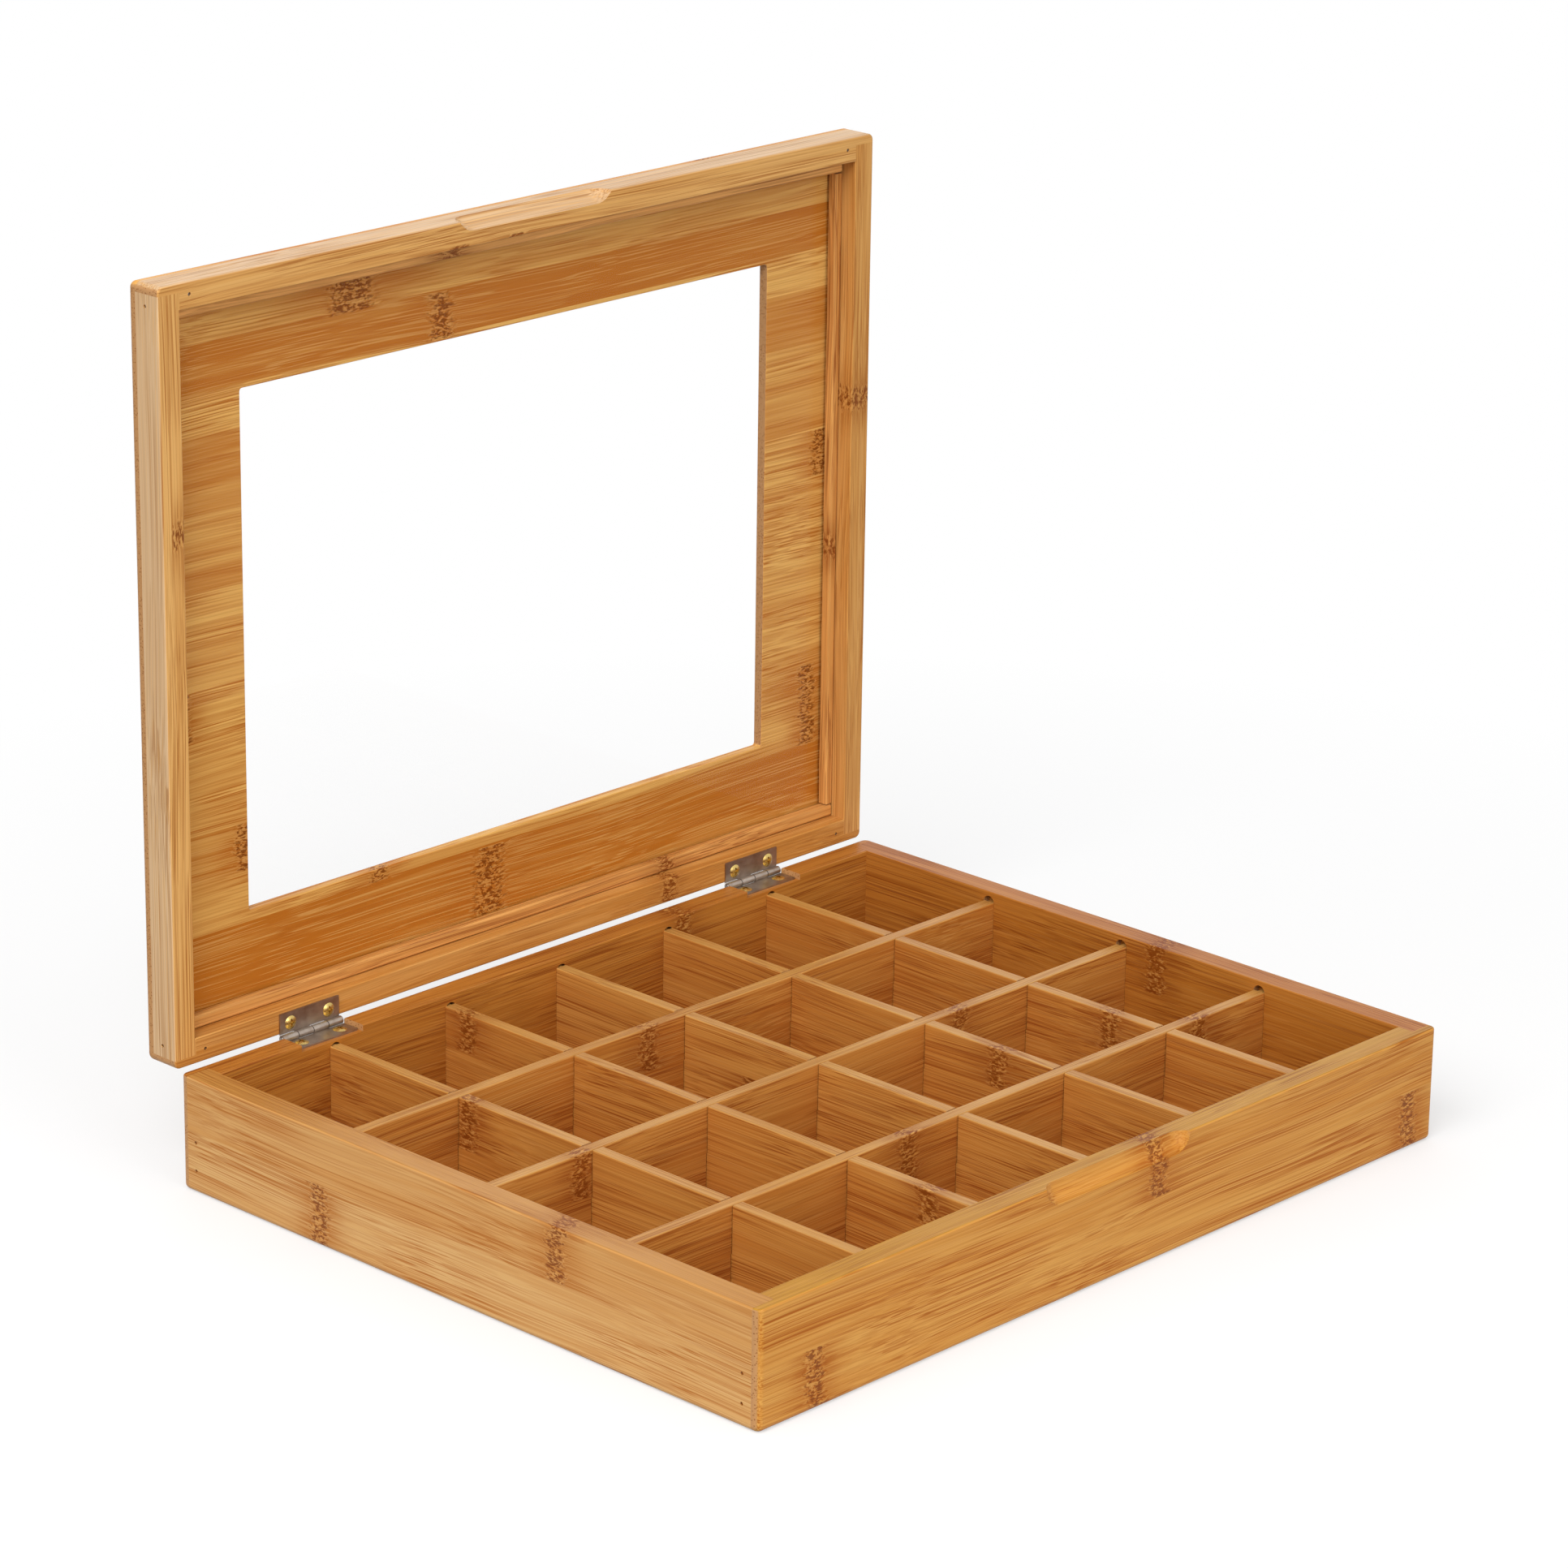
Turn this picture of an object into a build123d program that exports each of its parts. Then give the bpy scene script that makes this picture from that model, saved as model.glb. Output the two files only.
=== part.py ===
from build123d import *
import os

# A bamboo organizer for coffee capsules: a shallow box cut up by lapped dividers, under a
# framed lid with a clear pane that swings on two small hinges. All lengths are millimetres.
# X runs along the front from left to right, Y from the front to the hinge side, Z up.
# The origin is the centre of the underside, on the surface that the box rests on.

# Box: walls, floor and their joints
box_width = 350.0
box_depth = 280.0
box_height = 43.0
wall = 10.0
corner_lip = 3.3  # what is left of a front or rear wall past the end of a side wall
floor_thickness = 4.0
floor_rabbet = 5.0  # how far the floor reaches into each wall
floor_fit = 0.15
corner_radius = 2.5
foot_radius = 2.0
rim_radius = 0.8
inner_arris = 0.5

# Dividers: long ones run along X, short ones along Y and cross them in half laps
columns = 6
rows = 4
divider = 5.0
divider_drop = 4.0  # from the rim down to the dividers' tops
divider_arris = 0.5
lap_fit = 0.3
groove_depth = 3.0
groove_fit = 0.1
tongue_end_fit = 0.2
side_groove_rise = 2.2  # how far a groove's round top stands above a divider in the side walls
end_groove_rise = 1.0  # and in the front and rear walls, where it stays under the hinge mortise

# Finger notch, cut along the closed gap by one ball-nosed cutter in the front wall and in the lid
notch_straight = 60.0
notch_cutter_radius = 8.5
notch_depth = 4.0

# Lid: four rails under one panel with a window
rail_width = 9.5
rail_depth = 11.5
panel_thickness = 4.0
lid_edge_radius = 2.5
window_margin = 45.0
window_radius = 1.2
window_arris = 0.4
pane_thickness = 1.5
pane_fit = 0.5
long_bead_width = 5.0  # the beads along X
short_bead_width = 3.9  # the beads between them
bead_depth = 3.6
bead_radius = 0.9
bead_end_gap = 0.7

# Hinges
hinge_inset = 62.0  # from the box's end to the middle of a hinge
hinge_length = 28.0
leaf_reach = 9.2  # from the pin's axis to the leaf's free edge
leaf_thickness = 0.6
leaf_corner_radius = 0.4
knuckle_radius = 1.5
knuckle_count = 4
knuckle_gap = 0.3
knuckle_clearance = 0.3
pin_radius = 0.7
pin_clearance = 0.05
pin_head_radius = 1.2
pin_head_thickness = 0.5
pin_head_rounding = 0.4
pin_setback = 1.2  # the pin's axis behind the rear wall
closed_gap = 0.5  # between the rim and the closed lid
mortise_end_gap = 0.5
open_angle = 90.0

# Fasteners
screw_shank_radius = 1.1
screw_length = 9.0
screw_head_radius = 2.6
screw_dome = 0.7
screw_from_end = 5.0
screw_from_axis = 4.9
screw_fit = 0.05
screw_recess_width = 0.7
screw_recess_length = 3.0
screw_recess_depth = 0.9
screw_tip_radius = 0.1
brad_radius = 0.6
brad_fit = 0.05
brad_set = 0.5  # how deep a brad's head is set below the surface
side_brad_length = 18.0
base_brad_from_face = 7.4
base_brad_heights = (8.4, 19.0)
lid_brad_from_face = 7.5
lid_brad_height = 6.6
panel_brad_length = 13.0
panel_brad_from_end = 13.9
panel_brad_from_face = 4.5
bead_brad_radius = 0.4
bead_brad_length = 9.0
bead_brads_from_front = (29.5, 45.5, 152.0)

# Worked out from the driving dimensions
half_width = box_width / 2
half_depth = box_depth / 2
divider_top = box_height - divider_drop
lap_height = (floor_thickness + divider_top) / 2
cell_width = (box_width - 2 * wall - (columns - 1) * divider) / columns
cell_depth = (box_depth - 2 * wall - (rows - 1) * divider) / rows
lid_base = box_height + closed_gap
lid_thickness = rail_depth + panel_thickness
pin_y = half_depth + pin_setback
pin_z = lid_base - knuckle_radius
mortise_floor = pin_z - knuckle_radius
hinge_axis = Axis((0, pin_y, pin_z), (1, 0, 0))
hinge_places = {"left": -half_width + hinge_inset, "right": half_width - hinge_inset}
short_places = [-half_width + wall + (i + 1) * cell_width + (i + 0.5) * divider for i in range(columns - 1)]
long_places = [-half_depth + wall + (j + 1) * cell_depth + (j + 0.5) * divider for j in range(rows - 1)]
overcut = 1.0  # how far a cutter runs past the face that it opens
near = 0.01  # how close an edge lies to a face that it belongs to


def block(x0, x1, y0, y1, z0, z1):
    """A box between two values on each axis."""
    middle = ((x0 + x1) / 2, (y0 + y1) / 2, (z0 + z1) / 2)
    return Pos(*middle) * Box(x1 - x0, y1 - y0, z1 - z0)


def rod(x, y, z, radius, length, direction):
    """A round bar that starts at a point and runs along a direction."""
    return extrude(Plane((x, y, z), z_dir=direction) * Circle(radius), length)


def frame_ring(thickness, base, height, lower_radius, upper_radius, soft_end):
    """A rounded block as wide and deep as the box, with a rectangular hole through it.

    The radii are those of its outer edges. The hole gets an arris at its lower end where
    soft_end is 0, and at its upper end where soft_end is -1.
    """
    solid = block(-half_width, half_width, -half_depth, half_depth, base, base + height)
    solid = fillet(solid.edges().filter_by(Axis.Z), corner_radius)
    if lower_radius:
        solid = fillet(solid.edges().group_by(Axis.Z)[0], lower_radius)
    if upper_radius:
        solid = fillet(solid.edges().group_by(Axis.Z)[-1], upper_radius)
    hole_x = half_width - thickness
    hole_y = half_depth - thickness
    ring = solid - block(-hole_x, hole_x, -hole_y, hole_y, base - overcut, base + height + overcut)
    rim = ring.edges().group_by(Axis.Z)[soft_end]
    inner = [e for e in rim if abs(e.center().X) < hole_x + near and abs(e.center().Y) < hole_y + near]
    return fillet(inner, inner_arris)


def long_piece_region(side, thickness, base, top):
    """The space of a front or rear piece, whose thin lips cover the side pieces' ends."""
    outer = side * half_depth
    lip = side * (half_depth - corner_lip)
    inner = side * (half_depth - thickness)
    lips = block(-half_width, half_width, min(outer, lip), max(outer, lip), base, top)
    reach = half_width - thickness
    return lips + block(-reach, reach, min(outer, inner), max(outer, inner), base, top)


def side_piece_region(side, thickness, base, top):
    """The space of a left or right piece, which butts against the lips."""
    outer = side * half_width
    inner = side * (half_width - thickness)
    reach = half_depth - corner_lip
    return block(min(outer, inner), max(outer, inner), -reach, reach, base, top)


def notch_cutter():
    """The space that a ball-nosed cutter sweeps in front of the closed box, level with the gap."""
    y = -half_depth - notch_cutter_radius + notch_depth
    z = box_height + closed_gap / 2
    half = notch_straight / 2
    swept = rod(-half, y, z, notch_cutter_radius, notch_straight, (1, 0, 0))
    for x in (-half, half):
        swept += Pos(x, y, z) * Sphere(notch_cutter_radius)
    return swept


def round_topped(width, bottom, crest, thickness, direction, start):
    """An upright strip with a half-round top, which runs a level direction from a point at Z=0."""
    radius = width / 2
    straight = crest - radius - bottom
    profile = Pos(0, bottom + straight / 2) * Rectangle(width, straight)
    profile += Pos(0, crest - radius) * Circle(radius)
    upright = Plane(start, x_dir=(-direction[1], direction[0], 0), z_dir=direction)
    return extrude(upright * profile, thickness)


# Dividers

def groove(x, y, direction, rise):
    """A round-topped groove that takes a divider's tongue, cut into a wall from its inner face."""
    width = divider + 2 * groove_fit
    return round_topped(width, floor_thickness, divider_top + rise, groove_depth, direction, (x, y, 0))


def tongue(x, y, direction):
    """The end of a divider, which stands in its groove."""
    length = groove_depth - tongue_end_fit
    return round_topped(divider, floor_thickness, divider_top, length, direction, (x, y, 0))


def divider_body(x0, x1, y0, y1):
    """A divider between the inner faces of two walls, with its top edges softened."""
    body = block(x0, x1, y0, y1, floor_thickness, divider_top)
    along = Axis.X if x1 - x0 > y1 - y0 else Axis.Y
    top_edges = body.edges().group_by(Axis.Z)[-1].filter_by(along)
    return fillet(top_edges, divider_arris)


def long_divider(y):
    """A divider along X, slotted from below where the short ones pass under it."""
    reach = half_width - wall
    body = divider_body(-reach, reach, y - divider / 2, y + divider / 2)
    body += tongue(-reach, y, (-1, 0, 0)) + tongue(reach, y, (1, 0, 0))
    half_slot = divider / 2 + lap_fit
    low = floor_thickness - overcut
    for x in short_places:
        body -= block(x - half_slot, x + half_slot, y - divider, y + divider, low, lap_height)
    return body


def short_divider(x):
    """A divider along Y, slotted from above where the long ones pass over it."""
    reach = half_depth - wall
    body = divider_body(x - divider / 2, x + divider / 2, -reach, reach)
    body += tongue(x, -reach, (0, -1, 0)) + tongue(x, reach, (0, 1, 0))
    half_slot = divider / 2 + lap_fit
    high = divider_top + overcut
    for y in long_places:
        body -= block(x - divider, x + divider, y - half_slot, y + half_slot, lap_height, high)
    return body


# Fasteners

def screw_body(grow):
    """A countersunk head, shank and point below Z=0, with that much added to the radii."""
    head = screw_head_radius + grow
    shank = screw_shank_radius + grow
    body = Pos(0, 0, -(head - shank) / 2) * Cone(shank, head, head - shank)
    body += rod(0, 0, 0, shank, screw_length - shank, (0, 0, -1))
    return body + Pos(0, 0, -screw_length + shank / 2) * Cone(screw_tip_radius, shank, shank)


def screw():
    """A raised countersunk wood screw that points down from a leaf's face at Z=0."""
    sphere_radius = (screw_head_radius**2 + screw_dome**2) / (2 * screw_dome)
    dome = Pos(0, 0, screw_dome - sphere_radius) * Sphere(sphere_radius)
    head = screw_head_radius
    body = screw_body(0) + (dome & block(-head, head, -head, head, 0, screw_dome))
    body -= Pos(0, 0, screw_dome) * Box(screw_recess_length, screw_recess_width, 2 * screw_recess_depth)
    return body - Pos(0, 0, screw_dome) * Box(screw_recess_width, screw_recess_length, 2 * screw_recess_depth)


def screw_hole():
    """The cutter for a screw's hole, open above the leaf's face."""
    return screw_body(screw_fit) + rod(0, 0, 0, screw_head_radius + screw_fit, leaf_thickness, (0, 0, 1))


def screw_places(centre):
    """Where the two screws of a leaf stand along X."""
    offset = hinge_length / 2 - screw_from_end
    return (centre - offset, centre + offset)


def in_base_leaf(x, shape):
    """Places a screw-like shape on the upper face of a base leaf."""
    return Pos(x, pin_y - screw_from_axis, mortise_floor + leaf_thickness) * shape


def in_lid_leaf(x, shape):
    """Places a screw-like shape on the lower face of a closed lid's leaf."""
    return Pos(x, pin_y - screw_from_axis, lid_base - leaf_thickness) * Rot(180, 0, 0) * shape


def brad(point, direction, radius, length, hole):
    """A headless brad set below the surface at a point, or the open hole that it leaves."""
    surface = Plane(point, z_dir=direction)
    if hole:
        return extrude(surface * Circle(radius + brad_fit), brad_set + length)
    return extrude(surface.offset(brad_set) * Circle(radius), length)


def side_brads(from_face, heights, hole):
    """Brads driven through the left and right pieces into the ends of the front and rear ones."""
    y = half_depth - from_face
    places = [(side, end, z) for side in (-1, 1) for end in (-1, 1) for z in heights]
    return [brad((side * half_width, end * y, z), (-side, 0, 0), brad_radius, side_brad_length, hole)
            for side, end, z in places]


def base_brads(hole=False):
    """The brads at the corners of the box."""
    return side_brads(base_brad_from_face, base_brad_heights, hole)


def lid_corner_brads(hole=False):
    """The brads at the corners of the lid."""
    return side_brads(lid_brad_from_face, (lid_base + lid_brad_height,), hole)


def lid_panel_brads(hole=False):
    """The brads that pin the front and rear rails to the panel."""
    x = half_width - panel_brad_from_end
    y = half_depth - panel_brad_from_face
    places = [(side * x, end * y, lid_base) for side in (-1, 1) for end in (-1, 1)]
    return [brad(place, (0, 0, 1), brad_radius, panel_brad_length, hole) for place in places]


def bead_brads(hole=False):
    """The thin brads that pin the left and right beads to the side rails."""
    x = half_width - rail_width - short_bead_width
    z = lid_base + rail_depth - pane_thickness - bead_depth / 2
    places = [(side, from_front - half_depth) for side in (-1, 1) for from_front in bead_brads_from_front]
    return [brad((side * x, y, z), (side, 0, 0), bead_brad_radius, bead_brad_length, hole)
            for side, y in places]


# Hinges

def knuckle_spans(centre, first):
    """Every other knuckle's ends along X, starting from the first or the second."""
    pitch = (hinge_length + knuckle_gap) / knuckle_count
    start = centre - hinge_length / 2
    picks = range(first, knuckle_count, 2)
    return [(start + k * pitch, start + (k + 1) * pitch - knuckle_gap) for k in picks]


def knuckle_bar(span, radius, extra=0.0):
    """A round bar round the pin's axis over one knuckle's length."""
    return rod(span[0] - extra, pin_y, pin_z, radius, span[1] - span[0] + 2 * extra, (1, 0, 0))


def hinge_leaf(centre, own, other, low):
    """A leaf with rolled knuckles: its plate lies at height low, below or above the pin's axis."""
    half = hinge_length / 2
    plate = block(centre - half, centre + half, pin_y - leaf_reach, pin_y, low, low + leaf_thickness)
    free_corners = plate.edges().filter_by(Axis.Z).group_by(Axis.Y)[0]
    leaf = fillet(free_corners, leaf_corner_radius)
    for span in knuckle_spans(centre, other):
        leaf -= knuckle_bar(span, knuckle_radius + knuckle_clearance, knuckle_gap)
    for span in knuckle_spans(centre, own):
        leaf += knuckle_bar(span, knuckle_radius)
    return leaf - rod(centre - half, pin_y, pin_z, pin_radius + pin_clearance, hinge_length, (1, 0, 0))


def base_leaf(centre):
    """The leaf that lies in the rear wall's mortise."""
    leaf = hinge_leaf(centre, 0, 1, mortise_floor)
    for x in screw_places(centre):
        leaf -= in_base_leaf(x, screw_hole())
    return leaf


def lid_leaf(centre):
    """The leaf on the lid's underside, drawn with the lid closed."""
    leaf = hinge_leaf(centre, 1, 0, lid_base - leaf_thickness)
    for x in screw_places(centre):
        leaf -= in_lid_leaf(x, screw_hole())
    return leaf


def hinge_pin(centre):
    """The pin, with a head outside each end knuckle."""
    half = hinge_length / 2
    pin = rod(centre - half, pin_y, pin_z, pin_radius, hinge_length, (1, 0, 0))
    for side in (-1, 1):
        head = rod(centre + side * half, pin_y, pin_z, pin_head_radius, pin_head_thickness, (side, 0, 0))
        outer = head.edges().group_by(Axis.X)[0 if side < 0 else -1]
        pin += fillet(outer, pin_head_rounding)
    return pin


# Box

def base_walls():
    """The four walls, cut out of one softened ring so that their faces run on into each other."""
    ring = frame_ring(wall, 0, box_height, foot_radius, rim_radius, -1)
    floor_x = half_width - wall + floor_rabbet
    floor_y = half_depth - wall + floor_rabbet
    ring -= block(-floor_x, floor_x, -floor_y, floor_y, -overcut, floor_thickness)
    inner_x = half_width - wall
    inner_y = half_depth - wall
    for x in short_places:
        ring -= groove(x, -inner_y, (0, -1, 0), end_groove_rise)
        ring -= groove(x, inner_y, (0, 1, 0), end_groove_rise)
    for y in long_places:
        ring -= groove(-inner_x, y, (-1, 0, 0), side_groove_rise)
        ring -= groove(inner_x, y, (1, 0, 0), side_groove_rise)
    ring -= notch_cutter()
    for centre in hinge_places.values():
        half = hinge_length / 2 + mortise_end_gap
        ring -= block(centre - half, centre + half, inner_y - overcut, half_depth + overcut,
                      mortise_floor, box_height + overcut)
        for x in screw_places(centre):
            ring -= in_base_leaf(x, screw_hole())
    for hole in base_brads(hole=True):
        ring -= hole
    return {
        "front_wall": ring & long_piece_region(-1, wall, 0, box_height),
        "rear_wall": ring & long_piece_region(1, wall, 0, box_height),
        "left_wall": ring & side_piece_region(-1, wall, 0, box_height),
        "right_wall": ring & side_piece_region(1, wall, 0, box_height),
    }


def bottom_panel():
    """The floor, let into the walls and flush with their lower edges."""
    x = half_width - wall + floor_rabbet - floor_fit
    y = half_depth - wall + floor_rabbet - floor_fit
    return block(-x, x, -y, y, 0, floor_thickness)


# Lid, drawn closed

def lid_rails():
    """The four rails, cut out of one softened ring."""
    rail_top = lid_base + rail_depth
    ring = frame_ring(rail_width, lid_base, rail_depth, rim_radius, 0, 0)
    ring -= notch_cutter()
    for centre in hinge_places.values():
        for x in screw_places(centre):
            ring -= in_lid_leaf(x, screw_hole())
    for hole in lid_corner_brads(hole=True) + lid_panel_brads(hole=True) + bead_brads(hole=True):
        ring -= hole
    return {
        "lid_front_rail": ring & long_piece_region(-1, rail_width, lid_base, rail_top),
        "lid_rear_rail": ring & long_piece_region(1, rail_width, lid_base, rail_top),
        "lid_left_rail": ring & side_piece_region(-1, rail_width, lid_base, rail_top),
        "lid_right_rail": ring & side_piece_region(1, rail_width, lid_base, rail_top),
    }


def lid_panel():
    """The panel over the rails, with its window."""
    low = lid_base + rail_depth
    panel = block(-half_width, half_width, -half_depth, half_depth, low, low + panel_thickness)
    panel = fillet(panel.edges().filter_by(Axis.Z), corner_radius)
    panel = fillet(panel.edges().group_by(Axis.Z)[-1], lid_edge_radius)
    window_x = box_width - 2 * window_margin
    window_y = box_depth - 2 * window_margin
    opening = extrude(Pos(0, 0, low) * RectangleRounded(window_x, window_y, window_radius), panel_thickness)
    panel -= opening
    levels = panel.edges().group_by(Axis.Z)
    rims = [e for e in levels[0] + levels[-1]
            if abs(e.center().X) < window_x / 2 + near and abs(e.center().Y) < window_y / 2 + near]
    panel = fillet(rims, window_arris)
    for hole in lid_panel_brads(hole=True):
        panel -= hole
    return panel


def window_pane():
    """The clear sheet, which lies on the panel between the rails."""
    x = half_width - rail_width - pane_fit
    y = half_depth - rail_width - pane_fit
    top = lid_base + rail_depth
    return block(-x, x, -y, y, top - pane_thickness, top)


def bead(x0, x1, y0, y1):
    """A slim strip that holds the pane, with its two lower long edges rounded."""
    top = lid_base + rail_depth - pane_thickness
    strip = block(x0, x1, y0, y1, top - bead_depth, top)
    along = Axis.X if x1 - x0 > y1 - y0 else Axis.Y
    return fillet(strip.edges().group_by(Axis.Z)[0].filter_by(along), bead_radius)


def pane_beads():
    """Two full-length beads at the front and the rear, and two between them."""
    x = half_width - rail_width
    y = half_depth - rail_width
    long_end = x - bead_end_gap
    short_end = y - long_bead_width - bead_end_gap / 2
    left = bead(-x, -x + short_bead_width, -short_end, short_end)
    right = bead(x - short_bead_width, x, -short_end, short_end)
    for hole in bead_brads(hole=True):
        left -= hole
        right -= hole
    return {
        "pane_bead_front": bead(-long_end, long_end, -y, -y + long_bead_width),
        "pane_bead_rear": bead(-long_end, long_end, y - long_bead_width, y),
        "pane_bead_left": left,
        "pane_bead_right": right,
    }


def opened(shape):
    """Swings a piece of the closed lid up about the hinge axis."""
    return shape.rotate(hinge_axis, -open_angle)


# All pieces, by the name of their node

base_pieces = base_walls()
base_pieces["bottom_panel"] = bottom_panel()
for number, y in enumerate(long_places, start=1):
    base_pieces[f"long_divider_{number}"] = long_divider(y)
for number, x in enumerate(short_places, start=1):
    base_pieces[f"short_divider_{number}"] = short_divider(x)
base_pieces["base_corner_brads"] = Compound(children=base_brads())

lid_pieces = lid_rails() | pane_beads()
lid_pieces["lid_panel"] = lid_panel()
lid_pieces["window_pane"] = window_pane()
lid_pieces["lid_corner_brads"] = Compound(children=lid_corner_brads())
lid_pieces["lid_panel_brads"] = Compound(children=lid_panel_brads())
lid_pieces["pane_bead_brads"] = Compound(children=bead_brads())

for place, centre in hinge_places.items():
    base_pieces[f"hinge_base_leaf_{place}"] = base_leaf(centre)
    base_pieces[f"hinge_pin_{place}"] = hinge_pin(centre)
    lid_pieces[f"hinge_lid_leaf_{place}"] = lid_leaf(centre)

screw_xs = [x for centre in hinge_places.values() for x in screw_places(centre)]
base_pieces["base_hinge_screws"] = Compound(children=[in_base_leaf(x, screw()) for x in screw_xs])
lid_pieces["lid_hinge_screws"] = Compound(children=[in_lid_leaf(x, screw()) for x in screw_xs])

os.makedirs("parts", exist_ok=True)
for name, piece in base_pieces.items():
    export_step(piece, f"parts/{name}.step")
for name, piece in lid_pieces.items():
    export_step(opened(piece), f"parts/{name}.step")
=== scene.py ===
import math

import bpy
import numpy as np
from bpy.props import FloatProperty, FloatVectorProperty, PointerProperty
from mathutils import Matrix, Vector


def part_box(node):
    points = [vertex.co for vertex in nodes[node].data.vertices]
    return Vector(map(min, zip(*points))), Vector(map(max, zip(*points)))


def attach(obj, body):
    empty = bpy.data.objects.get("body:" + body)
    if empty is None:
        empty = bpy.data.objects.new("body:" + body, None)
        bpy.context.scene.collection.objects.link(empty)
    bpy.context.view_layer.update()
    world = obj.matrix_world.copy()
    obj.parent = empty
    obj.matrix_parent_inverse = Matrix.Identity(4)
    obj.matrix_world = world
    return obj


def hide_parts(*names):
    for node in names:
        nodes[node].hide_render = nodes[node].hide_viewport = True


bl_info = {
    "name": "Bamboo capsule box",
    "version": (1, 0, 0),
    "blender": (4, 5, 0),
    "location": "View3D > Sidebar > Capsule box",
    "description": "Gives a packed bamboo box its lacquered bamboo, clear pane, metal and studio",
    "category": "Object",
}

# The box stands on Z = 0 with its front towards -Y. Its lid is drawn open, so the lid's mating
# face looks forwards and its grain runs along X, or along Z in the side rails.
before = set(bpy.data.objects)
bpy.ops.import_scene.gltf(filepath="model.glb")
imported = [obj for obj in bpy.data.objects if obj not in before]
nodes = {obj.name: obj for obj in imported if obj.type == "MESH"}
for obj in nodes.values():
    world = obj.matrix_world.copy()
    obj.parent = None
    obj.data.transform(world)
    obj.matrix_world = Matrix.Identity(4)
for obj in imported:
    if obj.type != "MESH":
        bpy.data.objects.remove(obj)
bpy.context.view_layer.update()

MM = 1000.0  # object coordinates are metres, and every pattern below is worked out in millimetres
AXES = {"X": 0, "Y": 1, "Z": 2}


def linear(code):
    """An sRGB hex colour as linear red, green and blue."""
    parts = [int(code[i:i + 2], 16) / 255 for i in (0, 2, 4)]
    return tuple(c / 12.92 if c <= 0.04045 else ((c + 0.055) / 1.055) ** 2.4 for c in parts)


def rgba(colour):
    """A linear colour with full alpha."""
    return (*colour[:3], 1.0)


WHITE = rgba((1.0, 1.0, 1.0))


def add(tree, kind, values=None, **settings):
    """Adds a node, sets its settings, and sets or links the inputs given by name or number."""
    node = tree.nodes.new(kind)
    for name, setting in settings.items():
        setattr(node, name, setting)
    for key, value in (values or {}).items():
        socket = node.inputs[key]
        if isinstance(value, bpy.types.NodeSocket):
            tree.links.new(value, socket)
        else:
            socket.default_value = value
    return node


def new_material(name):
    """An empty material with nodes."""
    material = bpy.data.materials.new(name)
    material.use_nodes = True
    material.node_tree.nodes.clear()
    return material


def dress(names, material):
    """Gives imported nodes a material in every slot."""
    for name in names:
        mesh = nodes[name].data
        mesh.materials.clear()
        mesh.materials.append(material)


# Bamboo

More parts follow.
